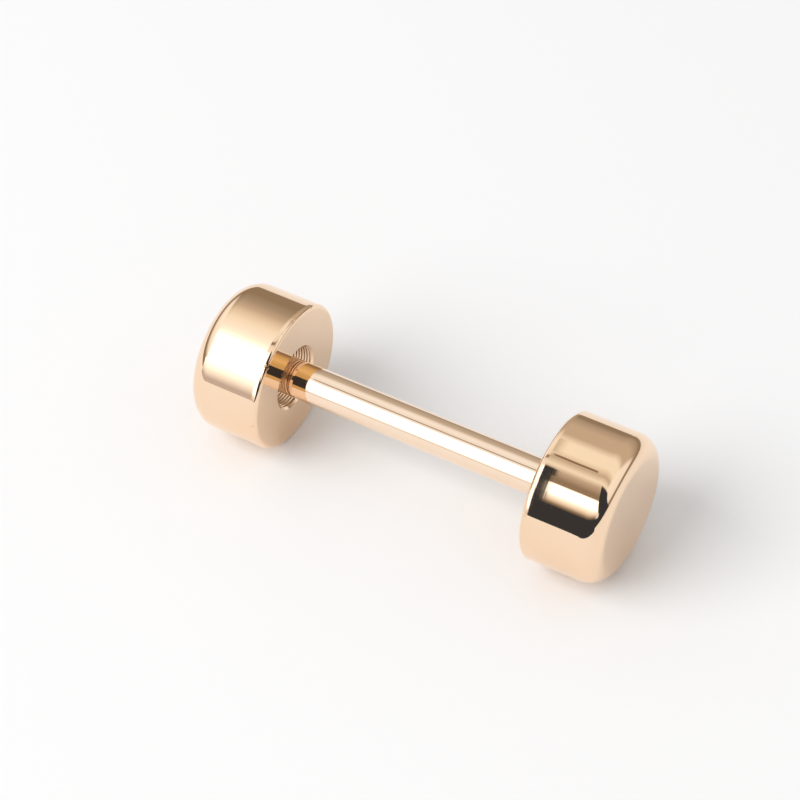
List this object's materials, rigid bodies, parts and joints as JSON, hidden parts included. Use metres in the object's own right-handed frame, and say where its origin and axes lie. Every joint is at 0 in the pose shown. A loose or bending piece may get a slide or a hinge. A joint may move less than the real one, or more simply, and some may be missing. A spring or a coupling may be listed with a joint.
{
  "type": "double-ended screw bar connector",
  "caption": "Slim polished bar with a round screw-on head at each end, for joining a strap, loop or ring between the heads.",
  "frame": {"origin": "centre of the lower head's flat outer end, on which the connector stands", "axes": "+Z along the bar, from the lower head to the upper head; X and Y are equivalent, because the part is round about Z"},
  "size_m": [0.01, 0.01, 0.0296],
  "materials": {
    "head_plating": "mirror-polished pale rose-gold plating",
    "bar_plating": "mirror-polished pale rose-gold plating"
  },
  "bodies": {
    "lower_head": {"lower_head": "head_plating"},
    "bar": {"bar": "bar_plating"},
    "upper_head": {"upper_head": "head_plating"}
  },
  "joints": [
    {"name": "bar_unscrew", "type": "slide", "parent": "lower_head", "child": "bar", "axis": [0, 0, 1], "range_m": [0, 0.005]},
    {"name": "upper_head_unscrew", "type": "slide", "parent": "bar", "child": "upper_head", "axis": [0, 0, 1], "range_m": [0, 0.005]}
  ]
}
